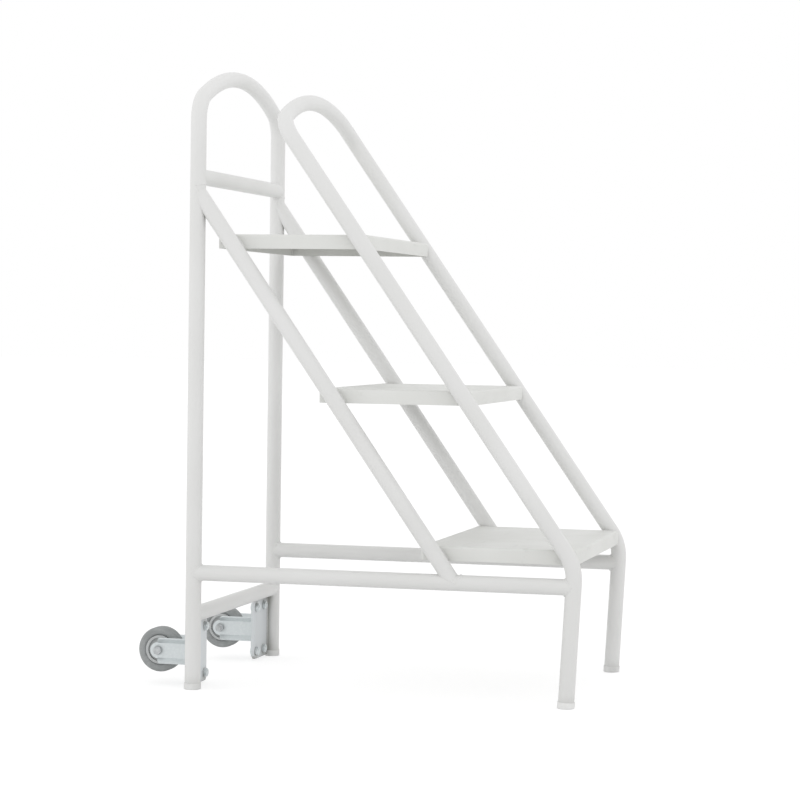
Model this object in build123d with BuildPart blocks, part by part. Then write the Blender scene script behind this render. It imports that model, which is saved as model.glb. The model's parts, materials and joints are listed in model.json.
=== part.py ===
from build123d import *
import math
import os

# Rolling library step ladder: a welded frame of bent round tube with three
# folded sheet treads, plastic foot caps and two fixed casters that touch the
# floor once the ladder is tipped back. Millimetres, +Z up, climbed towards -X.
# The origin is on the floor in the middle of the ladder. Left is -Y.

# Tube
tube_d = 25.0
tube_wall = 1.5
weld_gap = 0.1            # room between a coped end and the tube it is welded to

# Treads: folded pans between the tubes
step_rise = 240.0
step_nose = 16.0          # front edge ahead of the front tube's axis
step_tail = 16.0          # rear edge behind the stringer's axis
step_lip = 22.5
step_sheet = 1.5
step_bend_r = 4.0
step_names = ("bottom", "middle", "top")

# Frame
track = 425.0             # between the axes of the left and right tubes
incline = 55.0            # slope of stringers and front tubes, degrees
leg_rake = 2.8            # front legs lean forward going up, degrees
knee_r = 75.0             # on the tube's axis
stringer_lead = 46.5      # stringers ahead of the rear legs at the top tread, axis to axis
stringer_setback = 212.0  # stringers behind the front tubes, along X
knee_drop = 23.0          # corner of the knee below the bottom tread
rail_drop = 32.0          # base rails below the knee
upper_bar_rise = 90.0     # upper crossbar above the top tread
rear_guard_h = 272.5      # top of the rear hoop above the top tread
front_guard_h = 233.5     # top of the front hoop above the top tread

# Each hoop closes in two tight corners and a long flat crown
arch_corner_r = 45.0      # on the tube's axis
rear_crown_arc = 48.8     # degrees
front_crown_arc = 42.8
front_crown_slope = 84.0  # the front crown stands more upright than its sides, degrees

# Foot caps
foot_h = 10.0
foot_d = 27.0
foot_edge = 1.0
stem_length = 22.0
stem_gap = 0.1

# Casters
wheel_d = 72.0
wheel_w = 24.0
tyre_depth = 13.0
tyre_shoulder_r = 5.0
tyre_gap = 0.05
rim_depth = 4.0
web_t = 16.0
boss_d = 18.0
axle_d = 8.0
axle_running_gap = 0.05
axle_hole_gap = 0.1
hex_af = 13.0             # bolt head and nut, across flats
head_t = 5.3
nut_t = 6.8
thread_end = 3.0
axle_h = 54.0
axle_setback = 71.0       # behind the rear legs
caster_inset = 54.5       # wheel's middle inboard of the leg's axis
fork_sheet = 2.5
wheel_side_gap = 5.0      # tyre to fork, each side
boss_side_gap = 0.3       # hub to fork, each side
strap_w = 26.0            # flat part of a strap, between its two bends
flange_w = 11.0           # a strap's edges, bent outward
flange_bend = 45.0        # degrees
flange_end_r = 7.0
fork_root_r = 1.5
plate_h = 95.0
plate_w = 60.0
plate_corner_r = 6.0
hole_pitch_z = 75.0
hole_pitch_y = 40.0
bolt_hole_d = 8.4
mount_h = 102.0
mount_t = 4.0
mount_inset = 3.0         # mount's rear face inside the leg's rear line
lower_bar_gap = 0.5       # lower crossbar above the mounts

# Worked out from the driving dimensions
half_track = track / 2
tube_r = tube_d / 2
bore_d = tube_d - 2 * tube_wall
slope = math.radians(incline)
rake = math.radians(leg_rake)
upright = math.radians(90)
crown_lean = math.radians(front_crown_slope)
top_tread_h = len(step_names) * step_rise
overall_h = top_tread_h + rear_guard_h
knee_h = step_rise - knee_drop
rail_h = knee_h - rail_drop
upper_bar_h = top_tread_h + upper_bar_rise
lower_bar_h = axle_h + mount_h / 2 + lower_bar_gap + tube_r

# Along X from the rear legs, then from the middle of the ladder
knee_reach = stringer_lead + stringer_setback + (top_tread_h - knee_h) / math.tan(slope)
half_knee = (upright + rake - slope) / 2
knee_lead = knee_r * (1 - math.cos(rake) - math.tan(half_knee) * math.sin(rake))
front_reach = knee_reach + knee_lead + tube_r
rear_reach = axle_setback + wheel_d / 2
rear_x = (rear_reach - front_reach) / 2
knee_x = rear_x + knee_reach
foot_x = knee_x - knee_h * math.tan(rake)

# Casters
axle_x = rear_x - axle_setback
fork_gap = wheel_w + 2 * wheel_side_gap
mount_x = rear_x - tube_r + mount_inset
plate_x = mount_x - fork_sheet
bend = math.radians(flange_bend)
strap_edge = strap_w / 2
bend_cut = fork_sheet * math.tan(bend / 2)
flange_out = fork_gap / 2 + flange_w * math.sin(bend)
flange_top = strap_edge + flange_w * math.cos(bend)


def front_tube_x(height):
    """X of the front tubes' axis on the slope."""
    return knee_x - (height - knee_h) / math.tan(slope)


def stringer_x(height):
    """X of the stringers' axis."""
    return front_tube_x(height) - stringer_setback


def save(piece, name):
    piece.part.label = name
    export_step(piece.part, f"parts/{name}.step")


# Tube axes
def side_plane(side):
    return Plane(origin=(0, side * half_track, 0), x_dir=(1, 0, 0), z_dir=(0, -1, 0))


def rear_side(side):
    """A rear leg's axis, from the foot cap to the spring of the arch."""
    with BuildLine(side_plane(side)) as line:
        Line((rear_x, foot_h), (rear_x, rear_spring_h))
    return line.line


def front_foot():
    """Lower end of a front leg's tube, in the plane of its side."""
    return (foot_x + foot_h * math.tan(rake), foot_h)


def front_side(side):
    """A front leg's axis, round the knee and up the slope to the spring of the arch."""
    spring = (front_tube_x(front_spring_h), front_spring_h)
    with BuildLine(side_plane(side)) as line:
        FilletPolyline(front_foot(), (knee_x, knee_h), spring, radius=knee_r)
    return line.line


def arch_corner(side_slope, crown_slope, crown_arc):
    """Left corner of an arch: direction of the side, of the crown's end, and its tangent length."""
    half_arc = math.radians(crown_arc) / 2
    side_dir = Vector(-math.cos(side_slope), 0, math.sin(side_slope))
    crown_up = Vector(-math.cos(crown_slope), 0, math.sin(crown_slope))
    crown_dir = Vector(0, math.cos(half_arc), 0) + crown_up * math.sin(half_arc)
    half_turn = math.radians(side_dir.get_angle(crown_dir)) / 2
    return side_dir, crown_dir, arch_corner_r * math.tan(half_turn)


def arch_rise(side_slope, crown_slope, crown_arc):
    """Height of an arch's axis above its springs."""
    side_dir, crown_dir, reach = arch_corner(side_slope, crown_slope, crown_arc)
    corner = (side_dir + crown_dir) * reach
    crown_rise = (half_track - corner.Y) * math.tan(math.radians(crown_arc) / 4)
    return corner.Z + crown_rise * math.sin(crown_slope)


def arch(spring_x, spring_h, side_slope, crown_slope, crown_arc):
    """Axis of an arch from the left spring, round both corners, to the right one."""
    side_dir, crown_dir, reach = arch_corner(side_slope, crown_slope, crown_arc)
    left = Vector(spring_x, -half_track, spring_h)
    left_end = left + (side_dir + crown_dir) * reach
    right_end = Vector(left_end.X, -left_end.Y, left_end.Z)
    with BuildLine() as line:
        TangentArc(left, left_end, tangent=side_dir)
        crown = TangentArc(left_end, right_end, tangent=crown_dir)
        TangentArc(right_end, (spring_x, half_track, spring_h), tangent=crown % 1)
    return line.line


def straight(start, end):
    with BuildLine() as line:
        Line(start, end)
    return line.line


def rod(axis, diameter, mode=Mode.ADD):
    """A round rod along an axis, added to or cut from the part at hand."""
    path = Wire(axis.edges())
    with BuildSketch(Plane(origin=path @ 0, z_dir=path % 0)) as section:
        Circle(diameter / 2)
    sweep(sections=section.sketch, path=path, mode=mode)


def tube(axis, *coped_to):
    """A tube along an axis, its ends coped to the tubes that it meets."""
    rod(axis, tube_d)
    rod(axis, bore_d, mode=Mode.SUBTRACT)
    for other in coped_to:
        rod(other, tube_d + 2 * weld_gap, mode=Mode.SUBTRACT)


os.makedirs("parts", exist_ok=True)
sides = (("left", -1), ("right", 1))

# Rear hoop: two upright legs under one arch
rear_arch = (upright, upright, rear_crown_arc)
rear_spring_h = overall_h - tube_r - arch_rise(*rear_arch)
with BuildLine() as rear_axis:
    add(rear_side(-1))
    add(arch(rear_x, rear_spring_h, *rear_arch))
    add(rear_side(1))
with BuildPart() as rear_hoop:
    tube(rear_axis.line)
save(rear_hoop, "rear_hoop")

# Front hoop: legs, knees, sloping sides and arch in one bent tube
front_arch = (slope, crown_lean, front_crown_arc)
front_spring_h = top_tread_h + front_guard_h - tube_r - arch_rise(*front_arch)
with BuildLine() as front_axis:
    add(front_side(-1))
    add(arch(front_tube_x(front_spring_h), front_spring_h, *front_arch))
    add(front_side(1))
with BuildPart() as front_hoop:
    tube(front_axis.line)
save(front_hoop, "front_hoop")

# Rear crossbars
for name, height in (("upper", upper_bar_h), ("lower", lower_bar_h)):
    bar_axis = straight((rear_x, -half_track, height), (rear_x, half_track, height))
    with BuildPart() as crossbar:
        tube(bar_axis, rear_axis.line)
    save(crossbar, f"crossbar_{name}")

# Base rails and stringers
for name, side in sides:
    y = side * half_track
    leg_x = foot_x + rail_h * math.tan(rake)
    rail_axis = straight((rear_x, y, rail_h), (leg_x, y, rail_h))
    with BuildPart() as base_rail:
        tube(rail_axis, rear_axis.line, front_axis.line)
    save(base_rail, f"base_rail_{name}")

    top_h = rail_h + (stringer_x(rail_h) - rear_x) * math.tan(slope)
    stringer_axis = straight((stringer_x(rail_h), y, rail_h), (rear_x, y, top_h))
    with BuildPart() as stringer:
        tube(stringer_axis, rail_axis, rear_axis.line)
    save(stringer, f"stringer_{name}")

# Treads: pans with four lips, welded between the stringers and the front tubes
step_w = track - tube_d - 2 * weld_gap
step_d = step_tail + stringer_setback + step_nose
for number, name in enumerate(step_names, start=1):
    top = number * step_rise
    middle_x = stringer_x(top) - step_tail + step_d / 2
    with BuildPart() as step:
        with BuildSketch(Plane(origin=(middle_x, 0, top - step_lip))):
            Rectangle(step_d, step_w)
        extrude(amount=step_lip)
        fillet(step.edges().filter_by(Axis.Z), step_bend_r)
        fillet(step.faces().sort_by(Axis.Z)[-1].edges(), step_bend_r)
        offset(amount=-step_sheet, openings=step.faces().sort_by(Axis.Z)[0])
    save(step, f"step_{name}")

# Foot caps: a flat pad under the tube and a stem in its bore
for name, side in sides:
    y = side * half_track
    front_end = front_foot()
    for place, end, tilt in (
        ("rear", (rear_x, y, foot_h), 0),
        ("front", (front_end[0], y, front_end[1]), rake),
    ):
        leg_dir = (math.sin(tilt), 0, math.cos(tilt))
        with BuildPart() as foot:
            with BuildSketch(Plane(origin=end, z_dir=leg_dir)):
                Circle(foot_d / 2)
            extrude(amount=-foot_h - foot_d * math.tan(rake))
            split(bisect_by=Plane.XY, keep=Keep.TOP)
            chamfer(foot.edges().group_by(Axis.Z)[0], foot_edge)
            with BuildSketch(Plane(origin=end, z_dir=leg_dir)):
                Circle(bore_d / 2 - stem_gap)
            extrude(amount=stem_length)
        save(foot, f"foot_{place}_{name}")

# Casters
strap_section = (
    (fork_gap / 2, -strap_edge),
    (fork_gap / 2, strap_edge),
    (flange_out, flange_top),
    (flange_out + fork_sheet * math.cos(bend), flange_top - fork_sheet * math.sin(bend)),
    (fork_gap / 2 + fork_sheet, strap_edge - bend_cut),
    (fork_gap / 2 + fork_sheet, bend_cut - strap_edge),
    (flange_out + fork_sheet * math.cos(bend), fork_sheet * math.sin(bend) - flange_top),
    (flange_out, -flange_top),
)
rim_r = wheel_d / 2 - tyre_depth
boss_w = fork_gap - 2 * boss_side_gap
for name, side in sides:
    middle_y = side * (half_track - caster_inset)
    axle_centre = (axle_x, middle_y, axle_h)
    plate_plane = Plane(origin=(mount_x, middle_y, axle_h), x_dir=(0, 1, 0), z_dir=(-1, 0, 0))
    spin_axis = Axis(axle_centre, (0, 1, 0))
    spin_plane = Plane(origin=axle_centre, x_dir=(0, 1, 0), z_dir=(1, 0, 0))

    # Mount: a flat plate on the leg, bolted to the caster's plate and clear of the foot cap
    foot_axis = straight((rear_x, side * half_track, 0), (rear_x, side * half_track, foot_h + weld_gap))
    mount_tip = caster_inset + plate_w / 2
    with BuildPart() as mount:
        mount_middle = (mount_x, side * (half_track - mount_tip / 2), axle_h)
        with BuildSketch(Plane(origin=mount_middle, x_dir=(0, 1, 0), z_dir=(1, 0, 0))):
            RectangleRounded(mount_tip, mount_h, plate_corner_r)
        extrude(amount=mount_t)
        with BuildSketch(plate_plane):
            with GridLocations(hole_pitch_y, hole_pitch_z, 2, 2):
                Circle(bolt_hole_d / 2)
        extrude(amount=-mount_t, mode=Mode.SUBTRACT)
        rod(rear_axis.line, tube_d + 2 * weld_gap, mode=Mode.SUBTRACT)
        rod(foot_axis, foot_d + 2 * weld_gap, mode=Mode.SUBTRACT)
    save(mount, f"caster_mount_{name}")

    # Fork: a plate with four holes and two straps whose edges are bent outward
    with BuildPart() as fork:
        with BuildSketch(plate_plane):
            RectangleRounded(plate_w, plate_h, plate_corner_r)
            with GridLocations(hole_pitch_y, hole_pitch_z, 2, 2):
                Circle(bolt_hole_d / 2, mode=Mode.SUBTRACT)
        extrude(amount=fork_sheet)
        for face in (-1, 1):
            with BuildSketch(Plane(origin=axle_centre, x_dir=(0, face, 0), z_dir=(1, 0, 0))):
                Polygon(strap_section, align=None)
            extrude(amount=plate_x - axle_x)
            strap_origin = (axle_x, middle_y + face * fork_gap / 2, axle_h)
            with BuildSketch(Plane(origin=strap_origin, x_dir=(1, 0, 0), z_dir=(0, face, 0))):
                Circle(strap_edge)
            extrude(amount=fork_sheet)
            with BuildSketch(Plane(origin=strap_origin, x_dir=(1, 0, 0), z_dir=(0, face, 0))):
                Circle(axle_d / 2 + axle_hole_gap)
            extrude(amount=fork_sheet, mode=Mode.SUBTRACT)
        strap_reach = fork_gap / 2 + fork_sheet
        end_edges = fork.edges().filter_by_position(Axis.X, axle_x - weld_gap, axle_x + weld_gap)
        fillet(end_edges.filter_by(lambda e: abs(e.center().Y - middle_y) > flange_out), flange_end_r)
        root_edges = fork.edges().filter_by_position(Axis.X, plate_x - weld_gap, plate_x + weld_gap)
        root_edges = root_edges.filter_by_position(Axis.Z, axle_h - flange_top, axle_h + flange_top)
        inside_plate = plate_w / 2 - weld_gap
        fillet(root_edges.filter_by(lambda e: abs(e.center().Y - middle_y) < inside_plate), fork_root_r)
    save(fork, f"caster_fork_{name}")

    # Axle: bolt head outside, nut inside
    with BuildPart() as axle:
        outer_face = middle_y + side * strap_reach
        inner_face = middle_y - side * strap_reach
        hex_r = hex_af / math.sqrt(3)
        head_plane = Plane(origin=(axle_x, outer_face, axle_h), x_dir=(0, 0, 1), z_dir=(0, side, 0))
        nut_plane = Plane(origin=(axle_x, inner_face, axle_h), x_dir=(0, 0, 1), z_dir=(0, -side, 0))
        with BuildSketch(head_plane):
            RegularPolygon(hex_r, 6)
        extrude(amount=head_t)
        with BuildSketch(head_plane):
            Circle(axle_d / 2)
        extrude(amount=-2 * strap_reach - nut_t - thread_end)
        with BuildSketch(nut_plane):
            RegularPolygon(hex_r, 6)
        extrude(amount=nut_t)
    save(axle, f"axle_{name}")

    # Hub: boss, web and rim
    with BuildPart() as hub:
        with BuildSketch(spin_plane):
            for inner, outer, width in (
                (axle_d / 2 + axle_running_gap, boss_d / 2, boss_w),
                (boss_d / 2, rim_r - rim_depth, web_t),
                (rim_r - rim_depth, rim_r, wheel_w),
            ):
                with Locations((0, inner)):
                    Rectangle(width, outer - inner, align=(Align.CENTER, Align.MIN))
        revolve(axis=spin_axis)
    save(hub, f"hub_{name}")

    # Tyre
    with BuildPart() as tyre:
        with BuildSketch(spin_plane) as tyre_section:
            with Locations((0, rim_r + tyre_gap)):
                Rectangle(wheel_w, tyre_depth - tyre_gap, align=(Align.CENTER, Align.MIN))
            fillet(tyre_section.vertices().group_by(Axis.Z)[-1], tyre_shoulder_r)
        revolve(axis=spin_axis)
    save(tyre, f"tyre_{name}")
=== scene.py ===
"""Rolling library step ladder: finishes, welds, bolts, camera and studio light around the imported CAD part."""
import json
import math
import random

import bpy
from mathutils import Matrix, Vector


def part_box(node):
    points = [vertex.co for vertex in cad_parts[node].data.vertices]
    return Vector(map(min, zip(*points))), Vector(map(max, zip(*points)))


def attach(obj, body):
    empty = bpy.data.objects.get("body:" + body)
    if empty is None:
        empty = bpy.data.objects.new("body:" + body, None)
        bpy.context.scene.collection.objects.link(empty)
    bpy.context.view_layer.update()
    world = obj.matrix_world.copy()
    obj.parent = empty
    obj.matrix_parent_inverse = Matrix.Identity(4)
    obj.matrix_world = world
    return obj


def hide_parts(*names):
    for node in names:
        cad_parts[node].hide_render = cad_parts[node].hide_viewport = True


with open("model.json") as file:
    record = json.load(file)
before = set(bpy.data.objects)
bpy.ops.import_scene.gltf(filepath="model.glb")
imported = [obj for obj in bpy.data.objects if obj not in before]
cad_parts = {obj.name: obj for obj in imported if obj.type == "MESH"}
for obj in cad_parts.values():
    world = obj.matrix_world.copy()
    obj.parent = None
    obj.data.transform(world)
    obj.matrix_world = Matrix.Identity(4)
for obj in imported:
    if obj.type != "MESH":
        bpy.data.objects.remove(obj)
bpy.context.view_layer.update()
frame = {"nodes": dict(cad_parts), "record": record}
scene = bpy.context.scene
nodes = frame["nodes"]

# Colours, linear
COAT = (0.803, 0.803, 0.797)
COAT_SHADE = (0.773, 0.773, 0.763)
MOUNT = (0.745, 0.775, 0.80)
MOUNT_SHADE = (0.715, 0.745, 0.765)
TREAD = (0.795, 0.80, 0.78)
TREAD_SHADE = (0.745, 0.75, 0.725)
CAP = (0.84, 0.84, 0.83)
ZINC = (0.69, 0.73, 0.735)
ZINC_SHADE = (0.65, 0.69, 0.70)
BOLT = (0.58, 0.60, 0.61)
HUB = (0.55, 0.565, 0.565)
TYRE = (0.34, 0.355, 0.355)
# Colour of the tread scuffs, and of the painted shade in corners, in hollows and low down
SCUFF_AND_SHADE = (0.25, 0.25, 0.22)
FILM_SHADE = 0.7
MOULD_SHADE = 0.82
ROUGHNESS_DRIFT = 0.08

# Painted shade: shares of its colour, and reaches and heights in metres
FALLOFF_SHADE = 0.08
FALLOFF_TOP = 0.95
FALLOFF_FULL = 0.1
COAT_REACH = 0.02
LOW_CORNERS = 0.7
LOW_REACH = 0.05
LOW_TOP = 0.14
LOW_FULL = 0.11
ZINC_CORNERS = 0.3
ZINC_REACH = 0.006
STEEL_CORNERS = 0.35
STEEL_REACH = 0.004

# Ranges that masks are stretched from
NOISE_MIDDLE = (0.35, 0.65)
NOISE_WIDE = (0.3, 0.7)
SCUFF_PEAKS = (0.58, 0.72)
DUST_PEAKS = (0.5, 0.75)
SPANGLE = (0.1, 0.7)
OPEN_TO_CLOSED = (0.75, 0.2)
LEVEL_TO_INWARD = (-0.1, -0.2)


# Materials
class Shader:
    """A node material with the few helpers that all the finishes share."""

    def __init__(self, name, roughness, metallic=0.0):
        self.material = bpy.data.materials.new(name)
        self.material.use_nodes = True
        self.tree = self.material.node_tree
        self.bsdf = self.tree.nodes["Principled BSDF"]
        self.bsdf.inputs["Roughness"].default_value = roughness
        self.bsdf.inputs["Metallic"].default_value = metallic
        self.coordinates = self.tree.nodes.new("ShaderNodeTexCoord").outputs
        self.place = self.coordinates["Object"]

    def node(self, kind, **settings):
        made = self.tree.nodes.new(kind)
        for key, value in settings.items():
            setattr(made, key, value)
        return made

    def link(self, source, target):
        self.tree.links.new(source, target)

    def noise(self, per_metre, detail=2.0, roughness=0.5, stretch=(1, 1, 1)):
        """Noise with a given number of cells to the metre."""
        mapping = self.node("ShaderNodeMapping")
        mapping.inputs["Scale"].default_value = stretch
        self.link(self.place, mapping.inputs["Vector"])
        noise = self.node("ShaderNodeTexNoise")
        noise.inputs["Scale"].default_value = per_metre
        noise.inputs["Detail"].default_value = detail
        noise.inputs["Roughness"].default_value = roughness
        self.link(mapping.outputs["Vector"], noise.inputs["Vector"])
        return noise.outputs["Fac"]

    def spread(self, value, low, high, to_low=0.0, to_high=1.0):
        """A value stretched from one range to another."""
        ramp = self.node("ShaderNodeMapRange")
        for socket, number in zip(("From Min", "From Max", "To Min", "To Max"), (low, high, to_low, to_high)):
            ramp.inputs[socket].default_value = number
        self.link(value, ramp.inputs["Value"])
        return ramp.outputs["Result"]

    def mix(self, factor, first, second):
        """Two colours, each a socket or a plain linear colour, mixed by a factor."""
        mixer = self.node("ShaderNodeMix", data_type="RGBA")
        self.link(factor, mixer.inputs["Factor"])
        for index, colour in ((6, first), (7, second)):
            if isinstance(colour, tuple):
                mixer.inputs[index].default_value = (*colour, 1)
            else:
                self.link(colour, mixer.inputs[index])
        return mixer.outputs[2]

    def crevice(self, reach, amount):
        """How closed in a point is, from 0 in the open to the given amount deep in a corner."""
        occlusion = self.node("ShaderNodeAmbientOcclusion", samples=8)
        occlusion.inputs["Distance"].default_value = reach
        return self.spread(occlusion.outputs["AO"], *OPEN_TO_CLOSED, 0.0, amount)

    def height_ramp(self, top, full, amount=1.0):
        """A mask that grows from 0 at one height to the given amount at a lower one."""
        parts = self.node("ShaderNodeSeparateXYZ")
        self.link(self.place, parts.inputs["Vector"])
        return self.spread(parts.outputs["Z"], top, full, 0.0, amount)

    def low_crevice(self, reach, amount):
        """The same as crevice, for corners near the floor only."""
        both = self.node("ShaderNodeMath", operation="MULTIPLY")
        self.link(self.crevice(reach, amount), both.inputs[0])
        self.link(self.height_ramp(LOW_TOP, LOW_FULL), both.inputs[1])
        return both.outputs["Value"]

    def inside(self, amount):
        """The given amount on faces that look towards the middle of their solid, 0 on all others."""
        offset = self.node("ShaderNodeVectorMath", operation="SUBTRACT")
        self.link(self.coordinates["Generated"], offset.inputs[0])
        offset.inputs[1].default_value = (0.5, 0.5, 0.5)
        facing = self.node("ShaderNodeVectorMath", operation="DOT_PRODUCT")
        self.link(offset.outputs["Vector"], facing.inputs[0])
        self.link(self.coordinates["Normal"], facing.inputs[1])
        return self.spread(facing.outputs["Value"], *LEVEL_TO_INWARD, 0.0, amount)

    def roughness(self, noise, low, high):
        """Roughness that drifts between two values."""
        self.link(self.spread(noise, *NOISE_WIDE, low, high), self.bsdf.inputs["Roughness"])

    def bump(self, height, depth):
        """Relief of a given depth in metres."""
        bump = self.node("ShaderNodeBump")
        bump.inputs["Strength"].default_value = 1.0
        bump.inputs["Distance"].default_value = depth
        self.link(height, bump.inputs["Height"])
        self.link(bump.outputs["Normal"], self.bsdf.inputs["Normal"])


def coat(name, colour, shade, corners, scuff=0.0, hollow=0.0):
    """Satin powder coat: orange peel, faint drift of colour, optional scuffs, and painted shade low down, in
    corners and in hollows.
    """
    s = Shader(name, roughness=0.45)
    drift = s.spread(s.noise(5.0, detail=3.0), *NOISE_MIDDLE)
    tint = s.mix(drift, colour, shade)
    if scuff:
        streaks = s.noise(60.0, detail=6.0, roughness=0.7, stretch=(1, 0.25, 1))
        tint = s.mix(s.spread(streaks, *SCUFF_PEAKS, 0.0, scuff), tint, SCUFF_AND_SHADE)
    # painted shade: darker towards the floor, where less light falls
    tint = s.mix(s.height_ramp(FALLOFF_TOP, FALLOFF_FULL, FALLOFF_SHADE), tint, SCUFF_AND_SHADE)
    # painted shade in corners, from ambient occlusion
    tint = s.mix(s.crevice(COAT_REACH, corners), tint, SCUFF_AND_SHADE)
    # painted shade in corners near the floor, as between the caster mount and the leg
    tint = s.mix(s.low_crevice(LOW_REACH, LOW_CORNERS), tint, SCUFF_AND_SHADE)
    # painted shade on the inner faces of the tread pans
    if hollow:
        tint = s.mix(s.inside(hollow), tint, SCUFF_AND_SHADE)
    s.link(tint, s.bsdf.inputs["Base Color"])
    s.roughness(s.noise(14.0, detail=4.0), 0.38, 0.52)
    s.bump(s.noise(700.0, detail=1.0), depth=0.00005)
    return s.material


def zinc(name, colour, shade):
    """Bright zinc plate: rolled sheet with a fine spangle."""
    s = Shader(name, roughness=0.42, metallic=0.55)
    spangle = s.node("ShaderNodeTexVoronoi", feature="F1")
    spangle.inputs["Scale"].default_value = 260.0
    s.link(s.place, spangle.inputs["Vector"])
    tint = s.mix(s.spread(spangle.outputs["Distance"], *SPANGLE), colour, shade)
    # painted shade in corners, from ambient occlusion
    tint = s.mix(s.crevice(ZINC_REACH, ZINC_CORNERS), tint, SCUFF_AND_SHADE)
    s.link(tint, s.bsdf.inputs["Base Color"])
    s.roughness(s.noise(40.0, detail=4.0), 0.34, 0.5)
    s.bump(s.noise(900.0, detail=2.0, stretch=(0.15, 1, 1)), depth=0.00003)
    return s.material


def steel(name, colour):
    """Plated fastener steel with a dull film."""
    s = Shader(name, roughness=0.4, metallic=0.6)
    film = s.spread(s.noise(120.0, detail=4.0), *NOISE_MIDDLE)
    tint = s.mix(film, colour, tuple(FILM_SHADE * c for c in colour))
    # painted shade in corners, from ambient occlusion
    tint = s.mix(s.crevice(STEEL_REACH, STEEL_CORNERS), tint, SCUFF_AND_SHADE)
    s.link(tint, s.bsdf.inputs["Base Color"])
    s.roughness(s.noise(200.0), 0.3, 0.55)
    s.bump(s.noise(1500.0), depth=0.00003)
    return s.material


def moulded(name, colour, roughness, grain, dust):
    """Moulded plastic or rubber with a fine grain and a little dust."""
    s = Shader(name, roughness=roughness)
    shade = tuple(MOULD_SHADE * c for c in colour)
    tint = s.mix(s.spread(s.noise(30.0, detail=5.0), *NOISE_MIDDLE), colour, shade)
    specks = s.spread(s.noise(90.0, detail=6.0, roughness=0.7), *DUST_PEAKS, 0.0, dust)
    tint = s.mix(specks, tint, COAT_SHADE)
    s.link(tint, s.bsdf.inputs["Base Color"])
    s.roughness(s.noise(70.0), roughness - ROUGHNESS_DRIFT, roughness + ROUGHNESS_DRIFT)
    s.bump(s.noise(grain, detail=2.0), depth=0.00006)
    return s.material


# corners and hollow are how much painted shade each coat gets
finishes = {
    "powder_coat": coat("powder_coat", COAT, COAT_SHADE, corners=0.35),
    "tread_coat": coat("tread_coat", TREAD, TREAD_SHADE, corners=0.25, scuff=0.12, hollow=0.25),
    "foot_cap": moulded("foot_cap", CAP, roughness=0.6, grain=1200.0, dust=0.15),
    "zinc_plate": zinc("zinc_plate", ZINC, ZINC_SHADE),
    "axle_steel": steel("axle_steel", BOLT),
    "wheel_hub": moulded("wheel_hub", HUB, roughness=0.5, grain=1500.0, dust=0.1),
    "tyre_rubber": moulded("tyre_rubber", TYRE, roughness=0.68, grain=1000.0, dust=0.2),
}
# the caster mounts get more painted shade in their corners
mount_finish = coat("mount_coat", MOUNT, MOUNT_SHADE, corners=0.5)
for row in frame["record"]["subparts"]:
    mesh = nodes[row["node"]].data
    mesh.materials.clear()
    is_mount = row["node"].startswith("caster_mount")
    mesh.materials.append(mount_finish if is_mount else finishes[row["material_slot"]])

# Sizes that the CAD source also has, in metres
RAKE = math.radians(2.8)
SLOPE = math.radians(55.0)
STRINGER_SETBACK = 0.212
HOLE_PITCH_Y = 0.040
HOLE_PITCH_Z = 0.075
FORK_SHEET = 0.0025
HEX_AF = 0.013
HEAD_T = 0.0053
NUT_T = 0.0068
BOLT_D = 0.008
THREAD_END = 0.003
SIDES = {"left": -1, "right": 1}
STEPS = ("bottom", "middle", "top")


def middle(node):
    low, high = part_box(node)
    return (low + high) / 2


TUBE_R = (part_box("crossbar_upper")[1].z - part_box("crossbar_upper")[0].z) / 2
REAR_X = middle("crossbar_upper").x
HALF_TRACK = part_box("rear_hoop")[1].y - TUBE_R
RAIL_Z = middle("base_rail_left").z
UP = Vector((0, 0, 1))
AHEAD = Vector((1, 0, 0))
ACROSS = Vector((0, 1, 0))
SLOPE_DIR = Vector((-math.cos(SLOPE), 0, math.sin(SLOPE)))
RAKE_DIR = Vector((math.sin(RAKE), 0, math.cos(RAKE)))


# Pieces
WELD_CREASE = math.radians(40)
FASTENER_CREASE = math.radians(25)


class MeshParts:
    """Points and faces gathered from several shapes into one mesh."""

    def __init__(self):
        self.points = []
        self.faces = []

    def rings(self, rings, closed=False, caps=False):
        """Skins a list of rings that have the same number of points."""
        first = len(self.points)
        count = len(rings[0])
        for ring in rings:
            self.points.extend(ring)
        for i in range(len(rings) if closed else len(rings) - 1):
            a = first + i * count
            b = first + (i + 1) % len(rings) * count
            for j in range(count):
                k = (j + 1) % count
                self.faces.append((a + j, a + k, b + k, b + j))
        if caps:
            last = first + (len(rings) - 1) * count
            self.faces.append(tuple(first + j for j in reversed(range(count))))
            self.faces.append(tuple(last + j for j in range(count)))

    def piece(self, name, slot, crease=WELD_CREASE, replaced=None):
        """One mesh on the ladder's frame, in the finish of one of the record's slots."""
        mesh = bpy.data.meshes.new(name)
        mesh.from_pydata([tuple(p) for p in self.points], [], self.faces)
        mesh.materials.append(finishes[slot])
        mesh.shade_smooth()
        mesh.set_sharp_from_angle(angle=crease)
        made = bpy.data.objects.new(name, mesh)
        scene.collection.objects.link(made)
        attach(made, "frame")
        if replaced:
            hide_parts(replaced)


# Weld beads. A path is a list of points, each with the direction out of the corner that the bead fills.
BEAD_R = 0.0021
BEAD_SIDES = 8
RIPPLE_PITCH = 0.0028
RIPPLE_STEPS = 4
RIPPLE_DEPTH = 0.14
JOINT_POINTS = 96
BEAD_SINK = 0.0014
BEAD_WIDTHS = (0.93, 1.07)
END_SIZE = 0.4
END_GROWTH = 0.2
SEED = 7


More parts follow.
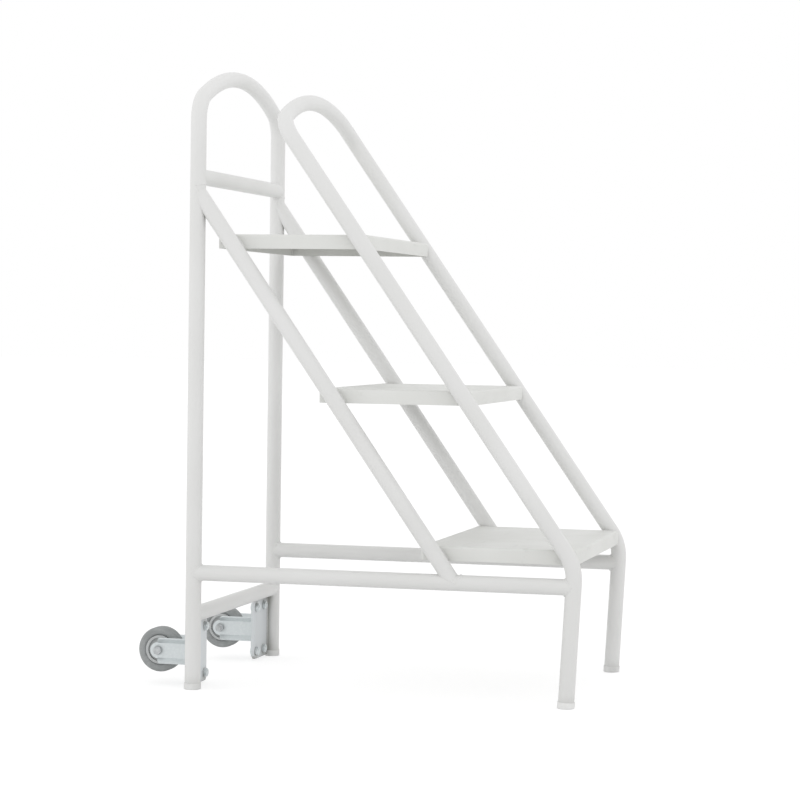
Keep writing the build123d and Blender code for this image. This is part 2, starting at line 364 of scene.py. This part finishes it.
def resample(path, closed, step):
    """The same path with points at an even step."""
    ends = path + path[:1] if closed else path
    lengths = [0.0]
    for (a, _), (b, _) in zip(ends, ends[1:]):
        lengths.append(lengths[-1] + (b - a).length)
    count = max(2 * RIPPLE_STEPS, round(lengths[-1] / step))
    made = []
    i = 0
    for n in range(count if closed else count + 1):
        target = lengths[-1] * n / count
        while i < len(lengths) - 2 and lengths[i + 1] < target:
            i += 1
        span = lengths[i + 1] - lengths[i]
        part = (target - lengths[i]) / span if span else 0.0
        made.append(tuple(a.lerp(b, part) for a, b in zip(ends[i], ends[i + 1])))
    return made


def bead(parts, path, closed, radius, rng):
    """A rippled bead along a path, thinner at open ends."""
    line = resample(path, closed, RIPPLE_PITCH / RIPPLE_STEPS)
    count = len(line)
    rings = []
    for i, (point, outward) in enumerate(line):
        before = line[i - 1][0] if closed or i else point
        after = line[(i + 1) % count][0] if closed or i < count - 1 else point
        along = (after - before).normalized()
        side = (outward - along * outward.dot(along)).normalized()
        other = along.cross(side)
        if i % RIPPLE_STEPS == 0:
            width = radius * rng.uniform(*BEAD_WIDTHS)
        size = width * (1 - RIPPLE_DEPTH * (i % RIPPLE_STEPS) / (RIPPLE_STEPS - 1))
        if not closed:
            size *= min(1.0, END_SIZE + END_GROWTH * min(i, count - 1 - i))
        turns = [2 * math.pi * k / BEAD_SIDES for k in range(BEAD_SIDES)]
        rings.append([point + (side * math.cos(t) + other * math.sin(t)) * size for t in turns])
    parts.rings(rings, closed=closed, caps=not closed)


def joint_path(branch_point, branch_dir, main_point, main_dir):
    """Where a branch tube, running off along its direction, meets a main tube of the same size.

    The path lies a little under the surface where the two tubes are flush.
    """
    first = branch_dir.orthogonal().normalized()
    second = branch_dir.cross(first)
    flat_dir = branch_dir - main_dir * branch_dir.dot(main_dir)
    path = []
    for k in range(JOINT_POINTS):
        t = 2 * math.pi * k / JOINT_POINTS
        normal = first * math.cos(t) + second * math.sin(t)
        start = branch_point + normal * TUBE_R
        off = start - main_point
        flat = off - main_dir * off.dot(main_dir)
        b = flat.dot(flat_dir) / flat_dir.length_squared
        c = (flat.length_squared - TUBE_R ** 2) / flat_dir.length_squared
        point = start + branch_dir * (math.sqrt(max(0.0, b * b - c)) - b)
        off = point - main_point
        main_normal = (off - main_dir * off.dot(main_dir)).normalized()
        outward = (normal + main_normal).normalized()
        sink = BEAD_SINK * max(0.0, normal.dot(main_normal))
        path.append((point - outward * sink, outward))
    return path


rng = random.Random(SEED)
for name in ("upper", "lower"):
    parts = MeshParts()
    height = middle(f"crossbar_{name}").z
    for side in SIDES.values():
        leg = Vector((REAR_X, side * HALF_TRACK, height))
        bead(parts, joint_path(leg, -side * ACROSS, leg, UP), True, BEAD_R, rng)
    parts.piece(f"weld_crossbar_{name}", "powder_coat")
for name, side in SIDES.items():
    y = side * HALF_TRACK
    foot = middle(f"foot_front_{name}")
    front_x = foot.x + (RAIL_Z - foot.z) * math.tan(RAKE)
    rail_rear = Vector((REAR_X, y, RAIL_Z))
    rail_front = Vector((front_x, y, RAIL_Z))
    stringer = middle(f"stringer_{name}")
    low_end = stringer + SLOPE_DIR * ((RAIL_Z - stringer.z) / SLOPE_DIR.z)
    high_end = stringer + SLOPE_DIR * ((REAR_X - stringer.x) / SLOPE_DIR.x)
    parts = MeshParts()
    for path in (
        joint_path(rail_rear, AHEAD, rail_rear, UP),
        joint_path(rail_front, -AHEAD, rail_front, RAKE_DIR),
        joint_path(low_end, SLOPE_DIR, rail_rear, AHEAD),
        joint_path(high_end, -SLOPE_DIR, rail_rear, UP),
    ):
        bead(parts, path, True, BEAD_R, rng)
    parts.piece(f"weld_side_{name}", "powder_coat")

# Treads: short beads beside the lines where their lips touch the sloping tubes
TREAD_BEAD_R = 0.0016
TREAD_BEAD_ASIDE = 0.005
LIP_ROUND = 0.004
for name in STEPS:
    parts = MeshParts()
    low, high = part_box(f"step_{name}")
    for side_name, side in SIDES.items():
        stringer = middle(f"stringer_{side_name}")
        for setback, aside in ((0.0, -1), (0.0, 1), (STRINGER_SETBACK, -1)):
            path = []
            for z in (low.z + BEAD_R, high.z - LIP_ROUND):
                touch_x = stringer.x + setback + (stringer.z - z) / math.tan(SLOPE)
                point = Vector((touch_x + aside * TREAD_BEAD_ASIDE / math.sin(SLOPE), side * high.y, z))
                path.append((point, side * ACROSS))
            bead(parts, path, False, TREAD_BEAD_R, rng)
    parts.piece(f"weld_step_{name}", "powder_coat")

# Caster mounts: upright beads along the leg and one along the lower crossbar
MOUNT_BEAD_R = 0.0018
MOUNT_BEAD_START = 0.012
BAR_BEAD_R = 0.0022
for name, side in SIDES.items():
    parts = MeshParts()
    low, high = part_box(f"caster_mount_{name}")
    start_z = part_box(f"foot_rear_{name}")[0].z + MOUNT_BEAD_START
    for x, out in ((low.x, -AHEAD), (high.x, AHEAD)):
        y = side * (HALF_TRACK - math.sqrt(TUBE_R ** 2 - (x - REAR_X) ** 2))
        path = [(Vector((x, y, z)), out - side * ACROSS) for z in (start_z, high.z - MOUNT_BEAD_R)]
        bead(parts, path, False, MOUNT_BEAD_R, rng)
    bar_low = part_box("crossbar_lower")[0].z
    inner_y = min(abs(low.y), abs(high.y))
    path = [(Vector((high.x - BAR_BEAD_R / 2, side * y, bar_low)), AHEAD)
            for y in (HALF_TRACK - TUBE_R, inner_y + 2 * BAR_BEAD_R)]
    bead(parts, path, False, BAR_BEAD_R, rng)
    parts.piece(f"weld_mount_{name}", "powder_coat")

# Caster bolts: low domed heads behind the caster's plate, nuts on the mount's front
DOME_D = 0.0155
DOME_RIM = 0.0009
DOME_H = 0.0024
DOME_STEPS = 6
BOLT_TIP = 0.0012
THREAD_PITCH = 0.00125
THREAD_DEPTH = 0.0006
ROUND_POINTS = 36
HEX_CHAMFER = math.radians(30)
HEX_FACE_SHARE = 0.96


def ring(centre, out, radii, heights):
    """A ring about an outward axis, with a radius and a height for each of its points."""
    first = out.orthogonal().normalized()
    second = out.cross(first)
    made = []
    for k, (radius, height) in enumerate(zip(radii, heights)):
        t = 2 * math.pi * k / ROUND_POINTS
        made.append(centre + out * height + (first * math.cos(t) + second * math.sin(t)) * radius)
    return made


def turned(parts, centre, out, profile):
    """A turned shape from pairs of height and radius."""
    parts.rings([ring(centre, out, [r] * ROUND_POINTS, [h] * ROUND_POINTS) for h, r in profile], caps=True)


def hexagon(parts, centre, out, low, high):
    """A nut or bolt head with its corners chamfered by a cone at both ends."""
    flat = HEX_AF / 2
    face = [HEX_FACE_SHARE * flat] * ROUND_POINTS
    turns = [2 * math.pi * k / ROUND_POINTS % (math.pi / 3) - math.pi / 6 for k in range(ROUND_POINTS)]
    outline = [flat / math.cos(t) for t in turns]
    drop = [(r - face[0]) * math.tan(HEX_CHAMFER) for r in outline]
    parts.rings([
        ring(centre, out, face, [low] * ROUND_POINTS),
        ring(centre, out, outline, [low + d for d in drop]),
        ring(centre, out, outline, [high - d for d in drop]),
        ring(centre, out, face, [high] * ROUND_POINTS),
    ], caps=True)


def dome(parts, centre, out):
    """The low round head of a carriage bolt."""
    turns = [math.pi / 2 * k / DOME_STEPS for k in range(DOME_STEPS)]
    curve = [(DOME_RIM + DOME_H * math.sin(t), DOME_D / 2 * math.cos(t)) for t in turns]
    turned(parts, centre, out, [(0, DOME_D / 2), *curve])


def thread(parts, centre, out, low, high):
    """A threaded end with ridges and a chamfered tip."""
    r = BOLT_D / 2
    profile = [(low, r)]
    for i in range(int((high - low) / THREAD_PITCH)):
        profile.append((low + (i + 0.5) * THREAD_PITCH, r - THREAD_DEPTH))
        profile.append((low + (i + 1.0) * THREAD_PITCH, r))
    profile.append((high, r - THREAD_DEPTH))
    turned(parts, centre, out, profile)


for name in SIDES:
    parts = MeshParts()
    fork = middle(f"caster_fork_{name}")
    mount_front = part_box(f"caster_mount_{name}")[1].x
    plate_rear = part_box(f"caster_fork_{name}")[1].x - FORK_SHEET
    for dy in (-HOLE_PITCH_Y / 2, HOLE_PITCH_Y / 2):
        for dz in (-HOLE_PITCH_Z / 2, HOLE_PITCH_Z / 2):
            front = Vector((mount_front, fork.y + dy, fork.z + dz))
            rear = Vector((plate_rear, fork.y + dy, fork.z + dz))
            hexagon(parts, front, AHEAD, 0, HEAD_T)
            thread(parts, front, AHEAD, HEAD_T, HEAD_T + BOLT_TIP)
            dome(parts, rear, -AHEAD)
    parts.piece(f"caster_bolts_{name}", "zinc_plate", crease=FASTENER_CREASE)

# Axle bolts: the same head and nut, in place of the plain ones of the solid
for name, side in SIDES.items():
    parts = MeshParts()
    low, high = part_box(f"axle_{name}")
    axle = middle(f"axle_{name}")
    outer = Vector((axle.x, high.y if side > 0 else low.y, axle.z))
    length = high.y - low.y
    nut_low = length - NUT_T - THREAD_END
    hexagon(parts, outer, -side * ACROSS, 0, HEAD_T)
    turned(parts, outer, -side * ACROSS, ((HEAD_T, BOLT_D / 2), (nut_low, BOLT_D / 2)))
    hexagon(parts, outer, -side * ACROSS, nut_low, nut_low + NUT_T)
    thread(parts, outer, -side * ACROSS, nut_low + NUT_T, length)
    parts.piece(f"axle_bolt_{name}", "axle_steel", crease=FASTENER_CREASE, replaced=f"axle_{name}")

# Camera, from a pinhole fit to the photograph
FOCAL_PIXELS = 2487.1
IMAGE_PIXELS = 800
SENSOR_MM = 36.0
CAMERA_PLACE = (1.0180, -3.9366, 0.5841)
YAW = math.radians(14.208)
PITCH = math.radians(-1.777)
ROLL = math.radians(0.807)

forward = Vector((-math.sin(YAW) * math.cos(PITCH), math.cos(YAW) * math.cos(PITCH), math.sin(PITCH)))
level = Vector((math.cos(YAW), math.sin(YAW), 0))
raised = level.cross(forward)
right = level * math.cos(ROLL) + raised * math.sin(ROLL)
up = raised * math.cos(ROLL) - level * math.sin(ROLL)
camera = bpy.data.objects.new("camera", bpy.data.cameras.new("camera"))
camera.data.sensor_width = SENSOR_MM
camera.data.lens = FOCAL_PIXELS / IMAGE_PIXELS * SENSOR_MM
camera.matrix_world = Matrix((right, up, -forward)).transposed().to_4x4()
camera.location = CAMERA_PLACE
scene.collection.objects.link(camera)
scene.camera = camera


# Studio: white floor and backdrop, even sky and two large lamps
LAMP_SIZE = 2.6
LAMP_TARGET = (0, 0, 0.5)


def camera_sees(tree):
    """1 for rays that show the backdrop itself, also in metal and through glass."""
    path = tree.nodes.new("ShaderNodeLightPath")
    total = path.outputs["Is Camera Ray"]
    for name in ("Is Glossy Ray", "Is Transmission Ray"):
        highest = tree.nodes.new("ShaderNodeMath")
        highest.operation = "MAXIMUM"
        tree.links.new(total, highest.inputs[0])
        tree.links.new(path.outputs[name], highest.inputs[1])
        total = highest.outputs[0]
    return total


def make_world(sky):
    world = bpy.data.worlds.new("studio")
    scene.world = world
    world.use_nodes = True
    tree = world.node_tree
    tree.nodes.clear()
    light = tree.nodes.new("ShaderNodeBackground")
    light.inputs["Color"].default_value = (1, 1, 1, 1)
    light.inputs["Strength"].default_value = sky
    shown = tree.nodes.new("ShaderNodeBackground")
    shown.inputs["Color"].default_value = (1, 1, 1, 1)
    shown.inputs["Strength"].default_value = 1.0
    either = tree.nodes.new("ShaderNodeMixShader")
    tree.links.new(camera_sees(tree), either.inputs[0])
    tree.links.new(light.outputs[0], either.inputs[1])
    tree.links.new(shown.outputs[0], either.inputs[2])
    output = tree.nodes.new("ShaderNodeOutputWorld")
    tree.links.new(either.outputs[0], output.inputs["Surface"])


def make_floor(half_side, albedo, glow, share):
    """A white floor that keeps the object's shadow.

    Part of what the camera sees of it is lit, and the rest glows.
    """
    mesh = bpy.data.meshes.new("floor")
    h = half_side
    mesh.from_pydata([(-h, -h, 0), (h, -h, 0), (h, h, 0), (-h, h, 0)], [], [(0, 1, 2, 3)])
    floor = bpy.data.objects.new("floor", mesh)
    scene.collection.objects.link(floor)
    material = bpy.data.materials.new("floor")
    material.use_nodes = True
    tree = material.node_tree
    tree.nodes.clear()
    plain = tree.nodes.new("ShaderNodeBsdfDiffuse")
    plain.inputs["Color"].default_value = (albedo, albedo, albedo, 1)
    shown = tree.nodes.new("ShaderNodeBsdfDiffuse")
    shown.inputs["Color"].default_value = (share, share, share, 1)
    lit = tree.nodes.new("ShaderNodeEmission")
    lit.inputs["Strength"].default_value = glow
    both = tree.nodes.new("ShaderNodeAddShader")
    tree.links.new(shown.outputs[0], both.inputs[0])
    tree.links.new(lit.outputs[0], both.inputs[1])
    either = tree.nodes.new("ShaderNodeMixShader")
    tree.links.new(camera_sees(tree), either.inputs[0])
    tree.links.new(plain.outputs[0], either.inputs[1])
    tree.links.new(both.outputs[0], either.inputs[2])
    output = tree.nodes.new("ShaderNodeOutputMaterial")
    tree.links.new(either.outputs[0], output.inputs["Surface"])
    mesh.materials.append(material)


def make_lamp(name, place, watts):
    lamp = bpy.data.lights.new(name, "AREA")
    lamp.shape = "DISK"
    lamp.size = LAMP_SIZE
    lamp.energy = watts
    holder = bpy.data.objects.new(name, lamp)
    holder.location = place
    holder.rotation_mode = "QUATERNION"
    holder.rotation_quaternion = (Vector(LAMP_TARGET) - Vector(place)).to_track_quat("-Z", "Y")
    scene.collection.objects.link(holder)


make_world(sky=0.955)
make_floor(half_side=30.0, albedo=0.86, glow=0.72, share=0.36)
make_lamp("key_left", place=(-3.2, -1.6, 0.6), watts=11)
make_lamp("key_right", place=(3.0, -2.6, 1.5), watts=8)

scene.view_settings.view_transform = "Standard"
